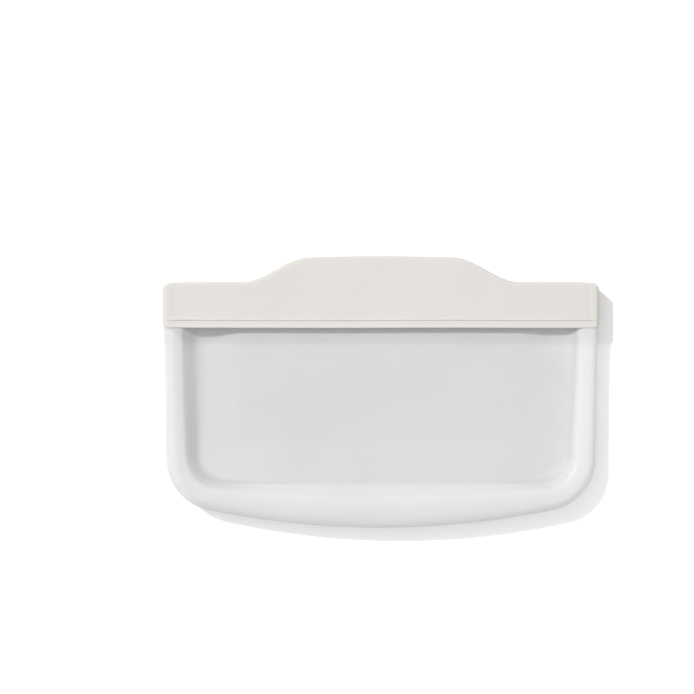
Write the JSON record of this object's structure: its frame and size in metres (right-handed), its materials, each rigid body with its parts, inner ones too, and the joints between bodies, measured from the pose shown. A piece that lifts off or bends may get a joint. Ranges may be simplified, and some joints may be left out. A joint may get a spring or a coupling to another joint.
{
  "type": "reusable silicone bag",
  "caption": "Translucent silicone food bag lying flat: sunken front wall, puffed edge gusset, and an opaque press-to-close rim with a raised pull tab on each lip.",
  "frame": {"origin": "under the middle of the bag, on the surface that its back lies on", "axes": "+X along the rim, +Y from the bottom gusset to the mouth, +Z from the back wall to the front wall"},
  "size_m": [0.19, 0.118, 0.0155],
  "materials": {
    "rim_silicone": "opaque warm off-white silicone, satin",
    "pouch_silicone": "translucent milky silicone, smooth"
  },
  "bodies": {
    "pouch": {"back_wall": "pouch_silicone", "left_side_gusset": "pouch_silicone", "right_side_gusset": "pouch_silicone", "left_corner_gusset": "pouch_silicone", "right_corner_gusset": "pouch_silicone", "bottom_gusset": "pouch_silicone", "back_lip": "rim_silicone", "left_end_weld": "rim_silicone", "right_end_weld": "rim_silicone", "lower_seal_rib": "rim_silicone", "upper_seal_rib": "rim_silicone"},
    "front_half": {"front_wall": "pouch_silicone", "front_lip": "rim_silicone"}
  },
  "joints": [
    {"name": "mouth_open", "type": "hinge", "parent": "pouch", "child": "front_half", "pos_m": [0, -0.0398, 0.00695], "axis": [1, 0, 0], "range_deg": [0, 22], "stiffness_Nm_per_rad": 0.02}
  ]
}
